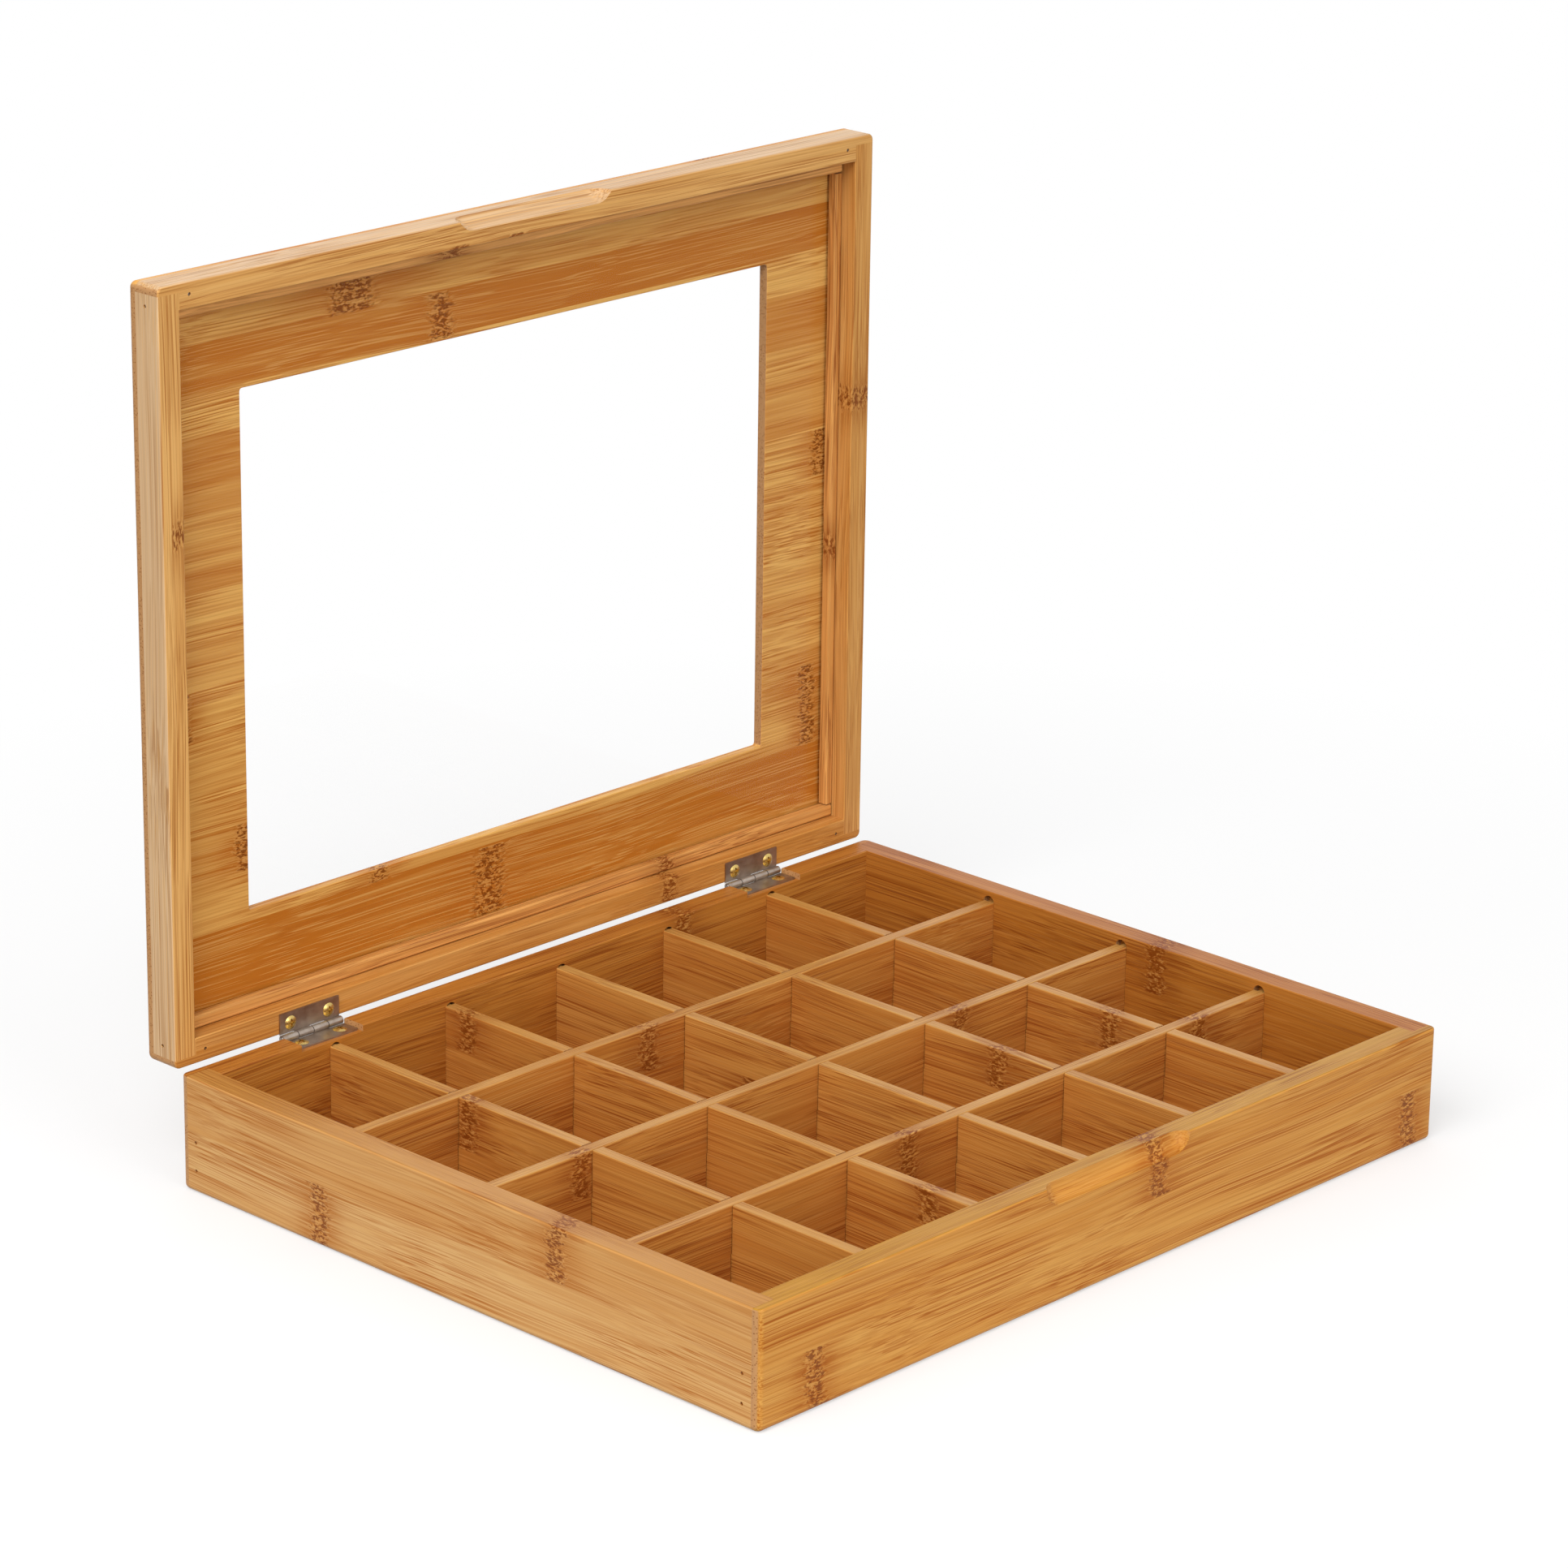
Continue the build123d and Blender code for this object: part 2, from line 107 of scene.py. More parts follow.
# A board has its grain axis, the axis across its strips, the way its shown face looks, the tones of
# that face and of the rest, its strips and its bamboo nodes. Some of these tones are copies of one
# wood with light or shade painted in: sides, tops and edges are paler, greyer copies with painted
# sheen, and insides and rims are darker copies with painted shade. A strip is (where it starts, its
# tone from pale to warm, how much its pale hairlines show). A node is (place along the grain, low
# and high across it, and how many times wider than usual it is, or 1). All lengths are millimetres.
BOARDS = {
    "front_wall": (
        "X", "Z", "-Y", "walls", "rims",
        ((-1, 0.35, 0.1), (22.3, 0.6, 0.2)),
        ((-148.5, -1, 22), (21.3, 23, 44), (160.6, -1, 22))),
    "rear_wall": (
        "X", "Z", "+Y", "walls", "insides",
        ((-1, 0.6, 0.2), (21.0, 0.4, 0.1)),
        ((64, 21, 44), (-96, -1, 21))),
    "left_wall": (
        "Y", "Z", "-X", "sides", "tops",
        ((-1, 0.35, 0.1), (23.0, 0.75, 0.1)),
        ((68.7, -1, 22.6), (-47.5, 23.4, 44))),
    "right_wall": (
        "Y", "Z", "+X", "sides", "insides",
        ((-1, 0.5, 0.1), (24.0, 0.7, 0.1)),
        ((-17, 24, 44), (92, -1, 24))),
    "bottom_panel": (
        "X", "Y", "-Z", "walls", "insides",
        ((-141, 0.5, 0.2), (-88, 0.2, 0.4), (-66, 0.6, 0.2), (-44, 0.3, 0.1), (-22, 0.8, 0.6),
         (0, 0.4, 0.2), (22, 0.2, 0.1), (44, 0.7, 0.5), (66, 0.4, 0.2), (88, 0.3, 0.3),
         (110, 0.6, 0.1)),
        ((-120, -66, -44), (52, -88, -66), (-20, -22, 0), (131, 0, 22), (-77, 44, 66),
         (90, 88, 110))),
    "long_divider_1": (
        "X", "Z", "+Z", "tops", "dividers", ((0, 0.6, 0.2),), ((-27, 20, 43), (128, 0, 43))),
    "long_divider_2": (
        "X", "Z", "+Z", "tops", "dividers", ((0, 0.5, 0.2),), ((-119, 22, 43), (72, 24, 43))),
    "long_divider_3": (
        "X", "Z", "+Z", "tops", "dividers", ((0, 0.7, 0.3),), ((-20, 22, 43),)),
    "short_divider_1": (
        "Y", "Z", "+Z", "tops", "dividers", ((0, 0.4, 0.2),), ((59, 20, 43),)),
    "short_divider_2": (
        "Y", "Z", "+Z", "tops", "dividers", ((0, 0.6, 0.2),), ((119, 24, 43), (-105, 26, 43))),
    "short_divider_3": (
        "Y", "Z", "+Z", "tops", "dividers", ((0, 0.3, 0.2),), ((30, 0, 24),)),
    "short_divider_4": (
        "Y", "Z", "+Z", "tops", "dividers", ((0, 0.5, 0.2),), ((-38, 24, 43),)),
    "short_divider_5": (
        "Y", "Z", "+Z", "tops", "dividers", ((0, 0.7, 0.2),), ((-42, 24, 43),)),
    "lid_front_rail": (
        "X", "Z", "+Z", "edges", "rails",
        ((300, 0.3, 0.3), (317, 0.3, 0.5)),
        ((-37, 307, 315), (-9, 309, 315))),
    "lid_rear_rail": (
        "X", "Z", "-Z", "edges", "rails", ((40, 0.95, 0.3), (48, 0.8, 0.2)), ((70, 42, 54),)),
    "lid_left_rail": (
        "Z", "X", "-X", "edges", "rails",
        ((-180, 0.1, 0.3), (-170.5, 0.2, 0.4)),
        ((236, -171, -164),)),
    "lid_right_rail": (
        "Z", "X", "+X", "edges", "rails",
        ((160, 0.65, 0.4), (170.5, 0.5, 0.3)),
        ((222, 164, 176),)),
    "lid_panel": (
        "X", "Z", "+Y", "walls", "panel",
        ((40, 0.75, 0.5), (57, 0.95, 0.6), (83.4, 0.25, 0.2), (103.5, 0.6, 0.7), (121.3, 0.2, 0.2),
         (139, 0.35, 0.2), (156, 0.1, 0.2), (174, 0.35, 0.3), (191, 0.15, 0.2), (209, 0.5, 0.2),
         # the last strip, from 296 mm, has a paler tone (0.35) as painted light against the shadow
         # that the top rail casts on it
         (226, 0.4, 0.3), (243, 0.7, 0.4), (264, 0.05, 0.1), (279, 1.0, 0.55), (296, 0.35, 0.3)),
        ((-78, 296, 312, 2.6), (-36, 279, 296, 1.3), (-14, 57, 83.4, 1.8), (155, 83.4, 116),
         (-68.5, 83.4, 90), (-131, 103.5, 121.3), (96, 312, 324), (-160, 156, 174),
         (160, 191, 209))),
    # the front bead's tone of 0.0 and the right bead's of 0.65 are painted light: they are set
    # lighter against the shadows that the front and right rails cast on them
    "pane_bead_front": (
        "X", "Z", "-Y", "beads", "beads", ((200, 0.0, 0.3),), ((-37, 200, 400),)),
    "pane_bead_rear": (
        "X", "Z", "-Y", "beads", "beads", ((0, 0.6, 0.3),), ((73, 0, 200),)),
    "pane_bead_left": (
        "Z", "X", "-Y", "beads", "beads", ((-200, 0.7, 0.3),), ((190, -200, 0),)),
    "pane_bead_right": (
        "Z", "X", "-Y", "beads", "beads", ((0, 0.65, 0.3),), ((163, 0, 200),)),
}

# Layers of streaks. Each has its length and width, as multiples of the finest streak's, the noise
# where it starts to show and where it shows in full, and the noise's detail. Real fibres are
# 0.1 to 0.3 mm wide, and the finest streaks are drawn at 0.4 mm so that they show.
STREAKS = (
    (3.0, 1.5, 0.53, 0.58, 0.0),   # bold dark ones
    (2.4, 1.0, 0.48, 0.57, 0.0),   # fine dark ones
    (2.8, 1.1, 0.58, 0.66, 0.0),   # pale hairlines
    (4.0, 14.0, 0.36, 0.64, 2.0),  # a broad drift of tone
)
STREAK_DETAIL_ROUGHNESS = 0.6
BOLD_SHARE, FINE_SHARE = 0.50, 0.45  # how far each darkens the wood
HALO_SHARE, DASH_SHARE, FLECK_SHARE = 0.25, 0.85, 0.40  # the same for the parts of a node
DRIFT_SHARE = 0.4  # how far the broad drift moves a strip's tone, from end to end

# A polished board reflects little of the white studio. The panel behind the pane reflects less,
# because the pane in front of it already gives that sheen.
SHEEN = 0.15
SHEEN_BEHIND_PANE = 0.08


def board_place(tree, grain, across):
    """Where a point of a board is and which way it looks.

    The place is in millimetres, as (along the grain, across the strips, through the board).
    """
    depth = next(axis for axis in "XYZ" if axis not in (grain, across))
    source = add(tree, "ShaderNodeTexCoord")
    axes = add(tree, "ShaderNodeSeparateXYZ", {0: source.outputs["Object"]})
    turned = add(tree, "ShaderNodeCombineXYZ", {
        0: axes.outputs[AXES[grain]], 1: axes.outputs[AXES[across]],
        2: axes.outputs[AXES[depth]]})
    spot = add(tree, "ShaderNodeMapping", {
        "Vector": turned.outputs[0], "Scale": (MM, MM, MM)})
    normal = add(tree, "ShaderNodeSeparateXYZ", {0: source.outputs["Normal"]})
    return spot.outputs[0], normal.outputs


def strip_values(tree, over, strips):
    """A stepped ramp across the board: each strip's tone, its hairlines and its own shift.

    The shifts are steps of the golden ratio, so that neighbours are never alike.
    """
    golden = 0.618
    first, last = strips[0][0], strips[-1][0] + 1.0
    level = add(tree, "ShaderNodeMapRange", {
        "Value": over, "From Min": first, "From Max": last})
    ramp = add(tree, "ShaderNodeValToRGB", {"Fac": level.outputs[0]})
    ramp.color_ramp.interpolation = "CONSTANT"
    ramp.color_ramp.elements.remove(ramp.color_ramp.elements[1])
    for index, (start, tone, hairs) in enumerate(strips):
        stops = ramp.color_ramp.elements
        stop = stops.new((start - first) / (last - first)) if index else stops[0]
        stop.color = (tone, hairs, (index * golden + 0.1) % 1, 1.0)
    return ramp.outputs["Color"]


def bamboo_nodes(tree, spot, along, over, bands, seed):
    """Two masks that are 1 at the nodes: a core, where the fibres break up, and a wider halo.

    `along` and `over` are the place along the grain and across the strips. A mask is 1 where
    |along + wander - centre| is under `near` and 0 past `far`, inside the node's own strip. The
    wander is noise across the grain, so a node's edges are ragged.
    """
    wander = 14.0  # from end to end
    rings = ((2.2, 6.0), (3.0, 20.0))  # near and far, of the core and of the halo
    soft_inside, soft_outside = 0.4, 0.3  # how a mask fades at its strip's edges

    ragged_at = add(tree, "ShaderNodeMapping", {
        "Vector": spot, "Scale": (0.0, 0.35, 0.35), "Location": (seed * 3.7, 0, 0)})
    ragged = add(tree, "ShaderNodeTexNoise", {
        "Vector": ragged_at.outputs[0], "Scale": 1.0, "Detail": 3.0, "Roughness": 0.75})
    swing = add(tree, "ShaderNodeMath", {
        0: ragged.outputs["Fac"], 1: wander, 2: -wander / 2}, operation="MULTIPLY_ADD")
    swung = add(tree, "ShaderNodeMath", {0: along, 1: swing.outputs[0]}, operation="ADD")
    masks = []
    for centre, low, high, *wider in bands:
        times = wider[0] if wider else 1.0
        half = (high - low) / 2
        gap = add(tree, "ShaderNodeMath", {
            0: swung.outputs[0], 1: float(centre)}, operation="SUBTRACT")
        gap = add(tree, "ShaderNodeMath", {0: gap.outputs[0]}, operation="ABSOLUTE")
        side = add(tree, "ShaderNodeMath", {0: over, 1: (low + high) / 2}, operation="SUBTRACT")
        side = add(tree, "ShaderNodeMath", {0: side.outputs[0]}, operation="ABSOLUTE")
        inside = add(tree, "ShaderNodeMapRange", {
            "Value": side.outputs[0], "From Min": half - soft_inside,
            "From Max": half + soft_outside, "To Min": 1.0, "To Max": 0.0})
        found = []
        for near, far in rings:
            ring = add(tree, "ShaderNodeMapRange", {
                "Value": gap.outputs[0], "From Min": near * times, "From Max": far * times,
                "To Min": 1.0, "To Max": 0.0}, interpolation_type="SMOOTHSTEP")
            ring = add(tree, "ShaderNodeMath", {
                0: ring.outputs[0], 1: inside.outputs[0]}, operation="MULTIPLY")
            found.append(ring.outputs[0])
        if masks:
            found = [add(tree, "ShaderNodeMath", {0: mask, 1: ring}, operation="MAXIMUM").outputs[0]
                     for mask, ring in zip(masks, found)]
        masks = found
    return masks


def fibre_course(tree, spot, strip, core, seed):
    """The place in the pattern of fibres, which are straight but for a drift and the nodes' curls.

    It is the place, plus each strip's shift through the board, plus a slow noise across the
    grain, plus a fine noise times the core of a node.
    """
    strip_shift = (0.0, 0.0, 370.0)
    drift_by = (0.0, 6.0, 6.0)
    curl_by = 1.2

    shifted = add(tree, "ShaderNodeVectorMath", {
        0: strip, 1: strip_shift, 2: spot}, operation="MULTIPLY_ADD")
    # waves of about 110 mm along the grain and 50 mm across it
    drift_at = add(tree, "ShaderNodeMapping", {
        "Vector": spot, "Scale": (0.009, 0.02, 0.02), "Location": (seed * 1.9, seed * 0.7, 0)})
    drift = add(tree, "ShaderNodeTexNoise", {
        "Vector": drift_at.outputs[0], "Scale": 1.0, "Detail": 0.0})
    drifted = add(tree, "ShaderNodeVectorMath", {
        0: drift.outputs["Color"], 1: drift_by, 2: shifted.outputs[0]}, operation="MULTIPLY_ADD")
    # curls of about 3 by 2 mm
    curl_at = add(tree, "ShaderNodeMapping", {"Vector": spot, "Scale": (0.30, 0.45, 0.45)})
    curl = add(tree, "ShaderNodeTexNoise", {
        "Vector": curl_at.outputs[0], "Scale": 1.0, "Detail": 1.0})
    curl_here = add(tree, "ShaderNodeMath", {0: core, 1: curl_by}, operation="MULTIPLY")
    curled = add(tree, "ShaderNodeVectorMath", {
        0: curl.outputs["Color"], "Scale": curl_here.outputs[0]}, operation="SCALE")
    bent = add(tree, "ShaderNodeVectorMath", {
        0: drifted.outputs[0], 1: curled.outputs[0]}, operation="ADD")
    return bent.outputs[0]


def fibre_richness(tree, bent, seed):
    """How strongly the dark fibres show, from lean zones to rich ones of about 60 by 10 mm.

    Each fibre starts and stops in its own place, so that the zones have spiky edges: their noise
    is read at the place plus a shift along the grain that differs from fibre to fibre.
    """
    spikes = (45.0, 0.0, 0.0)
    spike_at = add(tree, "ShaderNodeMapping", {"Vector": bent, "Scale": (0.01, 0.9, 0.9)})
    spike = add(tree, "ShaderNodeTexNoise", {
        "Vector": spike_at.outputs[0], "Scale": 1.0, "Detail": 1.0})
    spiked = add(tree, "ShaderNodeVectorMath", {
        0: spike.outputs["Color"], 1: spikes, 2: bent}, operation="MULTIPLY_ADD")
    zone_at = add(tree, "ShaderNodeMapping", {
        "Vector": spiked.outputs[0], "Scale": (0.016, 0.10, 0.10), "Location": (seed * 5.3, 0, 0)})
    zone = add(tree, "ShaderNodeTexNoise", {
        "Vector": zone_at.outputs[0], "Scale": 1.0, "Detail": 1.0})
    richness = add(tree, "ShaderNodeMapRange", {
        "Value": zone.outputs["Fac"], "From Min": 0.38, "From Max": 0.58,
        "To Min": 0.40, "To Max": 1.0}, interpolation_type="SMOOTHSTEP")
    return richness.outputs[0]


def streak_layers(tree, bent, halo, width, length, seed):
    """The layers of streaks, each from 0 to 1: bold, fine, hairlines and the drift of tone."""
    more_at_nodes = 0.08  # the halo of a node lifts the noise, so that more streaks show there
    layers = []
    for long, wide, low, high, detail in STREAKS:
        at = add(tree, "ShaderNodeMapping", {
            "Vector": bent, "Location": (wide * 11, wide * 5, seed),
            "Scale": (1 / (length * long), 1 / (width * wide), 1 / (width * wide))})
        noise = add(tree, "ShaderNodeTexNoise", {
            "Vector": at.outputs[0], "Scale": 1.0, "Detail": detail,
            "Roughness": STREAK_DETAIL_ROUGHNESS})
        raised = add(tree, "ShaderNodeMath", {
            0: halo, 1: more_at_nodes, 2: noise.outputs["Fac"]}, operation="MULTIPLY_ADD")
        layer = add(tree, "ShaderNodeMapRange", {
            "Value": raised.outputs[0], "From Min": low, "From Max": high},
            interpolation_type="SMOOTHSTEP")
        layers.append(layer.outputs[0])
    return layers


def node_marks(tree, bent, core, seed):
    """Short curled dark dashes and pale flecks inside a node, of about 2 by 1 mm."""
    more_at_middle, base = 0.12, 0.10  # the core lifts the dashes' noise, less a fixed amount
    mark_at = add(tree, "ShaderNodeMapping", {
        "Vector": bent, "Scale": (0.45, 1.1, 1.1), "Location": (0, seed, 0)})
    mark = add(tree, "ShaderNodeTexNoise", {
        "Vector": mark_at.outputs[0], "Scale": 1.0, "Detail": 2.0, "Roughness": 0.65,
        "Distortion": 0.3})
    lifted = add(tree, "ShaderNodeMath", {
        0: core, 1: more_at_middle, 2: mark.outputs["Fac"]}, operation="MULTIPLY_ADD")
    lifted = add(tree, "ShaderNodeMath", {0: lifted.outputs[0], 1: base}, operation="SUBTRACT")
    dark = add(tree, "ShaderNodeMapRange", {
        "Value": lifted.outputs[0], "From Min": 0.50, "From Max": 0.56},
        interpolation_type="SMOOTHSTEP")
    pale = add(tree, "ShaderNodeMapRange", {
        "Value": mark.outputs["Fac"], "From Min": 0.45, "From Max": 0.37},
        interpolation_type="SMOOTHSTEP")
    return [add(tree, "ShaderNodeMath", {0: marks.outputs[0], 1: core},
                operation="MULTIPLY").outputs[0] for marks in (dark, pale)]


def cut_ends(tree, spot, along_normal):
    """A mask for the cut ends, where the surface looks along the grain, and their fibres' dots.

    The dots are cells of about 0.8 mm.
    """
    ends = add(tree, "ShaderNodeMath", {0: along_normal}, operation="ABSOLUTE")
    end_grain = add(tree, "ShaderNodeMapRange", {
        "Value": ends.outputs[0], "From Min": 0.70, "From Max": 0.92},
        interpolation_type="SMOOTHSTEP")
    dot_at = add(tree, "ShaderNodeMapping", {"Vector": spot, "Scale": (0.0, 1.0, 1.0)})
    dot = add(tree, "ShaderNodeTexVoronoi", {
        "Vector": dot_at.outputs[0], "Scale": 1.25, "Randomness": 0.8})
    dots = add(tree, "ShaderNodeMapRange", {
        "Value": dot.outputs["Distance"], "From Min": 0.18, "From Max": 0.42,
        "To Min": 1.0, "To Max": 0.0}, interpolation_type="SMOOTHSTEP")
    return end_grain.outputs[0], dots.outputs[0]


def bamboo(name, board, seed, sheen=SHEEN):
    """Laminated bamboo, planed along the grain and lacquered satin.

    Strips of split culm are glued side by side. Each has its own tone, long thin dark fibres that
    thin out and thicken along it, a few pale hairlines, and now and then a node, where the fibres
    curl into short dark dashes and pale flecks. The cut ends show the fibres as dots. The eye gets
    a warm golden wood with fine straight streaks.
    """
    grain, across, out, shown, rest, strips, bands = board
    shared = bpy.context.scene.capsule_box_bamboo
    outer, inner = getattr(shared, shown), getattr(shared, rest)
    material = new_material(name)
    tree = material.node_tree

    spot, normal = board_place(tree, grain, across)
    # 1 on the face that looks the way `out` says, such as -Y, and 0 on the others. It picks the
    # shown or the rest tones, so where these are lit and shaded copies of one wood it paints sheen
    # or shade by which way a face looks
    sign = float(out[0] + "1")
    shown_share = add(tree, "ShaderNodeMapRange", {
        "Value": normal[AXES[out[1]]], "From Min": 0.35 * sign, "From Max": 0.75 * sign},
        interpolation_type="SMOOTHSTEP").outputs[0]
    along, over = add(tree, "ShaderNodeSeparateXYZ", {0: spot}).outputs[:2]
    strip = strip_values(tree, over, strips)
    strip_tone, strip_hairs = add(tree, "ShaderNodeSeparateColor", {0: strip}).outputs[:2]
    core, halo = bamboo_nodes(tree, spot, along, over, bands, seed)
    bent = fibre_course(tree, spot, strip, core, seed)
    richness = fibre_richness(tree, bent, seed)
    bold, fine, hair, broad = streak_layers(
        tree, bent, halo, shared.fibre_width * MM, shared.fibre_length * MM, seed)
    dashes, flecks = node_marks(tree, bent, core, seed)
    end_grain, dots = cut_ends(tree, spot, normal[AXES[grain]])

    # the dark fibres are the bold and the fine streaks, where they are rich or at a node
    fine_part = add(tree, "ShaderNodeMath", {0: fine, 1: FINE_SHARE}, operation="MULTIPLY")
    lines = add(tree, "ShaderNodeMath", {
        0: bold, 1: BOLD_SHARE, 2: fine_part.outputs[0]}, operation="MULTIPLY_ADD", use_clamp=True)
    thick = add(tree, "ShaderNodeMath", {0: richness, 1: halo}, operation="MAXIMUM")
    fibre = add(tree, "ShaderNodeMath", {
        0: lines.outputs[0], 1: thick.outputs[0]}, operation="MULTIPLY").outputs[0]

    # colour: the strip's tone, then fibres, hairlines and nodes over it, and the cut ends last
    pale, warm, dark = [
        add(tree, "ShaderNodeMix", {
            "Factor": shown_share, "A": rgba(getattr(inner, tone)),
            "B": rgba(getattr(outer, tone))}, data_type="RGBA").outputs["Result"]
        for tone in ("pale", "warm", "fibre")]
    drift = add(tree, "ShaderNodeMath", {
        0: broad, 1: DRIFT_SHARE, 2: -DRIFT_SHARE / 2}, operation="MULTIPLY_ADD")
    tone_by = add(tree, "ShaderNodeMath", {
        0: strip_tone, 1: drift.outputs[0]}, operation="ADD", use_clamp=True)
    colour = add(tree, "ShaderNodeMix", {
        "Factor": tone_by.outputs[0], "A": pale, "B": warm}, data_type="RGBA")
    hair_by, halo_by, dash_by, fleck_by = [
        add(tree, "ShaderNodeMath", {0: mask, 1: share}, operation="MULTIPLY").outputs[0]
        for mask, share in ((hair, strip_hairs), (halo, HALO_SHARE), (dashes, DASH_SHARE),
                            (flecks, FLECK_SHARE))]
    for share, tone in ((fibre, dark), (hair_by, rgba(shared.hairline)), (halo_by, dark),
                        (dash_by, rgba(shared.node)), (fleck_by, rgba(shared.hairline))):
        colour = add(tree, "ShaderNodeMix", {
            "Factor": share, "A": colour.outputs["Result"], "B": tone}, data_type="RGBA")
    end_tone = add(tree, "ShaderNodeMix", {
        "Factor": dots, "A": rgba(shared.end_pale), "B": rgba(shared.end_fibre)},
        data_type="RGBA")
    colour = add(tree, "ShaderNodeMix", {
        "Factor": end_grain, "A": colour.outputs["Result"], "B": end_tone.outputs["Result"]},
        data_type="RGBA")

    # satin lacquer, a little rougher over the fibres, with shallow grooves along them
    gloss = add(tree, "ShaderNodeMapRange", {
        "Value": fibre, "To Min": shared.roughness - 0.03, "To Max": shared.roughness + 0.07})
    height = add(tree, "ShaderNodeMath", {0: fibre, 1: dashes}, operation="ADD")
    bump = add(tree, "ShaderNodeBump", {
        "Height": height.outputs[0], "Strength": 0.3, "Distance": 0.0001}, invert=True)
    shader = add(tree, "ShaderNodeBsdfPrincipled", {
        "Base Color": colour.outputs["Result"], "Roughness": gloss.outputs[0],
        "Normal": bump.outputs[0], "IOR": 1.5, "Specular IOR Level": sheen})
    add(tree, "ShaderNodeOutputMaterial", {"Surface": shader.outputs[0]})
    return material


def dress_boards(names, first_seed):
    """Gives each board its own bamboo, with a seed that sets its pattern apart."""
    for seed, name in enumerate(names, start=first_seed):
        sheen = SHEEN_BEHIND_PANE if name == "lid_panel" else SHEEN
        dress([name], bamboo(f"bamboo_{name}", BOARDS[name], seed, sheen))


# Metal and the pane

def plated_steel(name, colour, roughness, brush_axis):
    """Pressed steel with a dull antique plating, brushed one way: grey-brown with soft streaks.

    The brush lines are about 8 mm long and 0.6 mm apart, and the darker stains are about 4 mm.
    """
    material = new_material(name)
    tree = material.node_tree
    place = add(tree, "ShaderNodeTexCoord")
    scale = [1.6 * MM] * 3
    scale[AXES[brush_axis]] = 0.12 * MM
    brushed = add(tree, "ShaderNodeMapping", {"Vector": place.outputs["Object"], "Scale": scale})
    lines = add(tree, "ShaderNodeTexNoise", {
        "Vector": brushed.outputs[0], "Scale": 1.0, "Detail": 4.0})
    clouds = add(tree, "ShaderNodeTexNoise", {
        "Vector": place.outputs["Object"], "Scale": 0.25 * MM, "Detail": 3.0})
    stained = add(tree, "ShaderNodeMapRange", {
        "Value": clouds.outputs["Fac"], "From Min": 0.35, "From Max": 0.7,
        "To Min": 0.0, "To Max": 0.6})
    stain = tuple(c * share for c, share in zip(colour, (0.55, 0.46, 0.40)))
    tint = add(tree, "ShaderNodeMix", {
        "Factor": stained.outputs[0], "A": rgba(colour), "B": rgba(stain)}, data_type="RGBA")
    gloss = add(tree, "ShaderNodeMapRange", {
        "Value": lines.outputs["Fac"], "To Min": roughness - 0.08, "To Max": roughness + 0.14})
    bump = add(tree, "ShaderNodeBump", {
        "Height": lines.outputs["Fac"], "Strength": 0.2, "Distance": 0.00003})
    shader = add(tree, "ShaderNodeBsdfPrincipled", {
        "Base Color": tint.outputs["Result"], "Metallic": 1.0, "Roughness": gloss.outputs[0],
        "Normal": bump.outputs[0]})
    add(tree, "ShaderNodeOutputMaterial", {"Surface": shader.outputs[0]})
    return material


def bright_brass(name, colour, roughness):
    """Cold-formed brass, polished in a barrel: bright yellow metal with faint darker spots.

    The spots are about 0.7 mm, and brown where the brass has tarnished.
    """
    tarnished = linear("7A5B2A")
    material = new_material(name)
    tree = material.node_tree
    place = add(tree, "ShaderNodeTexCoord")
    spots = add(tree, "ShaderNodeTexNoise", {
        "Vector": place.outputs["Object"], "Scale": 1.4 * MM, "Detail": 3.0})
    tarnish = add(tree, "ShaderNodeMapRange", {
        "Value": spots.outputs["Fac"], "From Min": 0.5, "From Max": 0.75,
        "To Min": 0.0, "To Max": 0.5})
    tint = add(tree, "ShaderNodeMix", {
        "Factor": tarnish.outputs[0], "A": rgba(colour), "B": rgba(tarnished)}, data_type="RGBA")
    gloss = add(tree, "ShaderNodeMapRange", {
        "Value": spots.outputs["Fac"], "To Min": roughness - 0.05, "To Max": roughness + 0.1})
    shader = add(tree, "ShaderNodeBsdfPrincipled", {
        "Base Color": tint.outputs["Result"], "Metallic": 1.0, "Roughness": gloss.outputs[0]})
    add(tree, "ShaderNodeOutputMaterial", {"Surface": shader.outputs[0]})
    return material


def clear_acrylic(name):
    """Cast acrylic sheet: clear and glossy. Light from the lamps passes straight through it.

    Its index and its specular level are set below those of acrylic, 1.49 and 0.5, to keep the
    white studio's reflection as faint as the photo shows it.
    """
    index, specular = 1.10, 0.12
    material = new_material(name)
    tree = material.node_tree
    clear = add(tree, "ShaderNodeBsdfPrincipled", {
        "Base Color": WHITE, "Transmission Weight": 1.0, "Roughness": 0.0, "IOR": index,
        "Specular IOR Level": specular})
    through = add(tree, "ShaderNodeBsdfTransparent", {"Color": rgba((0.97, 0.97, 0.97))})
    path = add(tree, "ShaderNodeLightPath")
    light = add(tree, "ShaderNodeMath", {
        0: path.outputs["Is Shadow Ray"], 1: path.outputs["Is Diffuse Ray"]}, operation="MAXIMUM")
    mixed = add(tree, "ShaderNodeMixShader", {
        0: light.outputs[0], 1: clear.outputs[0], 2: through.outputs[0]})
    add(tree, "ShaderNodeOutputMaterial", {"Surface": mixed.outputs[0]})
    return material


# New pieces

